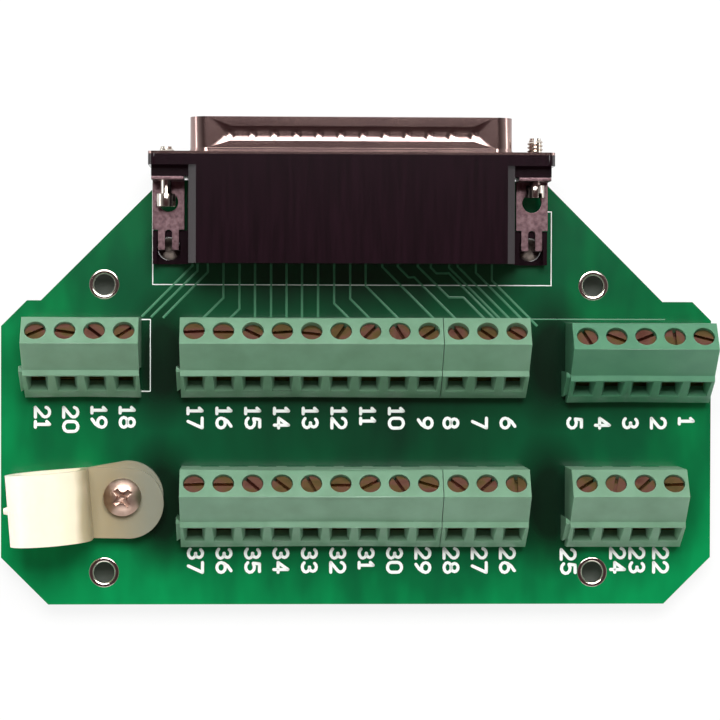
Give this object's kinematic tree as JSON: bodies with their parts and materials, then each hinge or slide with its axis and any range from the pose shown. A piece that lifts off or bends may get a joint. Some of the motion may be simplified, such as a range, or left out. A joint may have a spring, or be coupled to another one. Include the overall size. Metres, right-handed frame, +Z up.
{
  "type": "d-sub terminal block adapter",
  "caption": "Adapter board that brings a right-angle 37-way D-sub plug out to numbered screw terminals, with corner mounting holes and a loop clamp for the cable.",
  "frame": {"origin": "middle of the four mounting holes, on the underside of the board", "axes": "+Z up from the board, +Y towards the plug, +X to the right with the plug at the back"},
  "size_m": [0.1241, 0.0843, 0.0188],
  "materials": {
    "laminate": "glossy solder mask",
    "plated_shell": "tin plated",
    "black_plastic": "moulded",
    "plug_contact": "plated",
    "bracket_metal": "plated sheet",
    "screw_metal": "nickel plated",
    "tinned_pin": "tinned",
    "cage_brass": "sheet",
    "nylon": "natural nylon",
    "pan_screw": "nickel plated",
    "green_plastic": "moulded",
    "terminal_screw": "passivated"
  },
  "bodies": {
    "board": {"board": "laminate", "plug_shell": "plated_shell", "plug_insulator": "black_plastic", "plug_housing": "black_plastic", "plug_contacts_upper": "plug_contact", "plug_contacts_lower": "plug_contact", "bracket_left": "bracket_metal", "bracket_right": "bracket_metal", "block_18_21": "green_plastic", "block_9_17": "green_plastic", "block_6_8": "green_plastic", "block_1_5": "green_plastic", "block_29_37": "green_plastic", "block_26_28": "green_plastic", "block_22_25": "green_plastic", "contacts_1_21": "tinned_pin", "contacts_22_37": "tinned_pin", "clamp_cages": "cage_brass", "cable_clamp": "nylon", "clamp_screw": "pan_screw", "clamp_nut": "pan_screw"},
    "screw_01": {"screw_01": "terminal_screw"},
    "screw_02": {"screw_02": "terminal_screw"},
    "screw_03": {"screw_03": "terminal_screw"},
    "screw_04": {"screw_04": "terminal_screw"},
    "screw_05": {"screw_05": "terminal_screw"},
    "screw_06": {"screw_06": "terminal_screw"},
    "screw_07": {"screw_07": "terminal_screw"},
    "screw_08": {"screw_08": "terminal_screw"},
    "screw_09": {"screw_09": "terminal_screw"},
    "screw_10": {"screw_10": "terminal_screw"},
    "screw_11": {"screw_11": "terminal_screw"},
    "screw_12": {"screw_12": "terminal_screw"},
    "screw_13": {"screw_13": "terminal_screw"},
    "screw_14": {"screw_14": "terminal_screw"},
    "screw_15": {"screw_15": "terminal_screw"},
    "screw_16": {"screw_16": "terminal_screw"},
    "screw_17": {"screw_17": "terminal_screw"},
    "screw_18": {"screw_18": "terminal_screw"},
    "screw_19": {"screw_19": "terminal_screw"},
    "screw_20": {"screw_20": "terminal_screw"},
    "screw_21": {"screw_21": "terminal_screw"},
    "screw_22": {"screw_22": "terminal_screw"},
    "screw_23": {"screw_23": "terminal_screw"},
    "screw_24": {"screw_24": "terminal_screw"},
    "screw_25": {"screw_25": "terminal_screw"},
    "screw_26": {"screw_26": "terminal_screw"},
    "screw_27": {"screw_27": "terminal_screw"},
    "screw_28": {"screw_28": "terminal_screw"},
    "screw_29": {"screw_29": "terminal_screw"},
    "screw_30": {"screw_30": "terminal_screw"},
    "screw_31": {"screw_31": "terminal_screw"},
    "screw_32": {"screw_32": "terminal_screw"},
    "screw_33": {"screw_33": "terminal_screw"},
    "screw_34": {"screw_34": "terminal_screw"},
    "screw_35": {"screw_35": "terminal_screw"},
    "screw_36": {"screw_36": "terminal_screw"},
    "screw_37": {"screw_37": "terminal_screw"},
    "jackscrew_left": {"jackscrew_left": "screw_metal"},
    "jackscrew_right": {"jackscrew_right": "screw_metal"}
  },
  "joints": [
    {"name": "jackscrew_left_float", "type": "slide", "parent": "board", "child": "jackscrew_left", "axis": [0, 1, 0], "range_m": [-0.0007, 0.0022]},
    {"name": "jackscrew_right_float", "type": "slide", "parent": "board", "child": "jackscrew_right", "axis": [0, 1, 0], "range_m": [-0.0024, 0.0005]},
    {"name": "screw_01_turn", "type": "hinge", "parent": "board", "child": "screw_01", "pos_m": [0.0603, 0.01638, 0.0134], "axis": [0, 0.6071, 0.7946], "range_deg": [-2070, 0]},
    {"name": "screw_02_turn", "type": "hinge", "parent": "board", "child": "screw_02", "pos_m": [0.0553, 0.01638, 0.0134], "axis": [0, 0.6071, 0.7946], "range_deg": [-2070, 0]},
    {"name": "screw_03_turn", "type": "hinge", "parent": "board", "child": "screw_03", "pos_m": [0.0503, 0.01638, 0.0134], "axis": [0, 0.6071, 0.7946], "range_deg": [-2070, 0]},
    {"name": "screw_04_turn", "type": "hinge", "parent": "board", "child": "screw_04", "pos_m": [0.0453, 0.01638, 0.0134], "axis": [0, 0.6071, 0.7946], "range_deg": [-2070, 0]},
    {"name": "screw_05_turn", "type": "hinge", "parent": "board", "child": "screw_05", "pos_m": [0.0403, 0.01638, 0.0134], "axis": [0, 0.6071, 0.7946], "range_deg": [-2070, 0]},
    {"name": "screw_06_turn", "type": "hinge", "parent": "board", "child": "screw_06", "pos_m": [0.0282, 0.01717, 0.0134], "axis": [0, 0.6071, 0.7946], "range_deg": [-2070, 0]},
    {"name": "screw_07_turn", "type": "hinge", "parent": "board", "child": "screw_07", "pos_m": [0.0232, 0.01717, 0.0134], "axis": [0, 0.6071, 0.7946], "range_deg": [-2070, 0]},
    {"name": "screw_08_turn", "type": "hinge", "parent": "board", "child": "screw_08", "pos_m": [0.0182, 0.01717, 0.0134], "axis": [0, 0.6071, 0.7946], "range_deg": [-2070, 0]},
    {"name": "screw_09_turn", "type": "hinge", "parent": "board", "child": "screw_09", "pos_m": [0.0132, 0.01717, 0.0134], "axis": [0, 0.6071, 0.7946], "range_deg": [-2070, 0]},
    {"name": "screw_10_turn", "type": "hinge", "parent": "board", "child": "screw_10", "pos_m": [0.0082, 0.01717, 0.0134], "axis": [0, 0.6071, 0.7946], "range_deg": [-2070, 0]},
    {"name": "screw_11_turn", "type": "hinge", "parent": "board", "child": "screw_11", "pos_m": [0.0032, 0.01717, 0.0134], "axis": [0, 0.6071, 0.7946], "range_deg": [-2070, 0]},
    {"name": "screw_12_turn", "type": "hinge", "parent": "board", "child": "screw_12", "pos_m": [-0.0018, 0.01717, 0.0134], "axis": [0, 0.6071, 0.7946], "range_deg": [-2070, 0]},
    {"name": "screw_13_turn", "type": "hinge", "parent": "board", "child": "screw_13", "pos_m": [-0.0068, 0.01717, 0.0134], "axis": [0, 0.6071, 0.7946], "range_deg": [-2070, 0]},
    {"name": "screw_14_turn", "type": "hinge", "parent": "board", "child": "screw_14", "pos_m": [-0.0118, 0.01717, 0.0134], "axis": [0, 0.6071, 0.7946], "range_deg": [-2070, 0]},
    {"name": "screw_15_turn", "type": "hinge", "parent": "board", "child": "screw_15", "pos_m": [-0.0168, 0.01717, 0.0134], "axis": [0, 0.6071, 0.7946], "range_deg": [-2070, 0]},
    {"name": "screw_16_turn", "type": "hinge", "parent": "board", "child": "screw_16", "pos_m": [-0.0218, 0.01717, 0.0134], "axis": [0, 0.6071, 0.7946], "range_deg": [-2070, 0]},
    {"name": "screw_17_turn", "type": "hinge", "parent": "board", "child": "screw_17", "pos_m": [-0.0268, 0.01717, 0.0134], "axis": [0, 0.6071, 0.7946], "range_deg": [-2070, 0]},
    {"name": "screw_18_turn", "type": "hinge", "parent": "board", "child": "screw_18", "pos_m": [-0.0387, 0.01717, 0.0134], "axis": [0, 0.6071, 0.7946], "range_deg": [-2070, 0]},
    {"name": "screw_19_turn", "type": "hinge", "parent": "board", "child": "screw_19", "pos_m": [-0.0437, 0.01717, 0.0134], "axis": [0, 0.6071, 0.7946], "range_deg": [-1530, 450]},
    {"name": "screw_20_turn", "type": "hinge", "parent": "board", "child": "screw_20", "pos_m": [-0.0487, 0.01717, 0.0134], "axis": [0, 0.6071, 0.7946], "range_deg": [-1530, 450]},
    {"name": "screw_21_turn", "type": "hinge", "parent": "board", "child": "screw_21", "pos_m": [-0.0537, 0.01717, 0.0134], "axis": [0, 0.6071, 0.7946], "range_deg": [-2070, 0]},
    {"name": "screw_22_turn", "type": "hinge", "parent": "board", "child": "screw_22", "pos_m": [0.0553, -0.00877, 0.0134], "axis": [0, 0.6071, 0.7946], "range_deg": [-2070, 0]},
    {"name": "screw_23_turn", "type": "hinge", "parent": "board", "child": "screw_23", "pos_m": [0.0503, -0.00877, 0.0134], "axis": [0, 0.6071, 0.7946], "range_deg": [-1530, 450]},
    {"name": "screw_24_turn", "type": "hinge", "parent": "board", "child": "screw_24", "pos_m": [0.0453, -0.00877, 0.0134], "axis": [0, 0.6071, 0.7946], "range_deg": [-1530, 450]},
    {"name": "screw_25_turn", "type": "hinge", "parent": "board", "child": "screw_25", "pos_m": [0.0403, -0.00877, 0.0134], "axis": [0, 0.6071, 0.7946], "range_deg": [-2070, 0]},
    {"name": "screw_26_turn", "type": "hinge", "parent": "board", "child": "screw_26", "pos_m": [0.0282, -0.00877, 0.0134], "axis": [0, 0.6071, 0.7946], "range_deg": [-1530, 450]},
    {"name": "screw_27_turn", "type": "hinge", "parent": "board", "child": "screw_27", "pos_m": [0.0232, -0.00877, 0.0134], "axis": [0, 0.6071, 0.7946], "range_deg": [-2070, 0]},
    {"name": "screw_28_turn", "type": "hinge", "parent": "board", "child": "screw_28", "pos_m": [0.0182, -0.00877, 0.0134], "axis": [0, 0.6071, 0.7946], "range_deg": [-1530, 450]},
    {"name": "screw_29_turn", "type": "hinge", "parent": "board", "child": "screw_29", "pos_m": [0.0132, -0.00877, 0.0134], "axis": [0, 0.6071, 0.7946], "range_deg": [-1530, 450]},
    {"name": "screw_30_turn", "type": "hinge", "parent": "board", "child": "screw_30", "pos_m": [0.0082, -0.00877, 0.0134], "axis": [0, 0.6071, 0.7946], "range_deg": [-1530, 450]},
    {"name": "screw_31_turn", "type": "hinge", "parent": "board", "child": "screw_31", "pos_m": [0.0032, -0.00877, 0.0134], "axis": [0, 0.6071, 0.7946], "range_deg": [-1530, 450]},
    {"name": "screw_32_turn", "type": "hinge", "parent": "board", "child": "screw_32", "pos_m": [-0.0018, -0.00877, 0.0134], "axis": [0, 0.6071, 0.7946], "range_deg": [-1530, 450]},
    {"name": "screw_33_turn", "type": "hinge", "parent": "board", "child": "screw_33", "pos_m": [-0.0068, -0.00877, 0.0134], "axis": [0, 0.6071, 0.7946], "range_deg": [-2070, 0]},
    {"name": "screw_34_turn", "type": "hinge", "parent": "board", "child": "screw_34", "pos_m": [-0.0118, -0.00877, 0.0134], "axis": [0, 0.6071, 0.7946], "range_deg": [-1530, 450]},
    {"name": "screw_35_turn", "type": "hinge", "parent": "board", "child": "screw_35", "pos_m": [-0.0168, -0.00877, 0.0134], "axis": [0, 0.6071, 0.7946], "range_deg": [-2070, 0]},
    {"name": "screw_36_turn", "type": "hinge", "parent": "board", "child": "screw_36", "pos_m": [-0.0218, -0.00877, 0.0134], "axis": [0, 0.6071, 0.7946], "range_deg": [-1530, 450]},
    {"name": "screw_37_turn", "type": "hinge", "parent": "board", "child": "screw_37", "pos_m": [-0.0268, -0.00877, 0.0134], "axis": [0, 0.6071, 0.7946], "range_deg": [-1530, 450]}
  ]
}
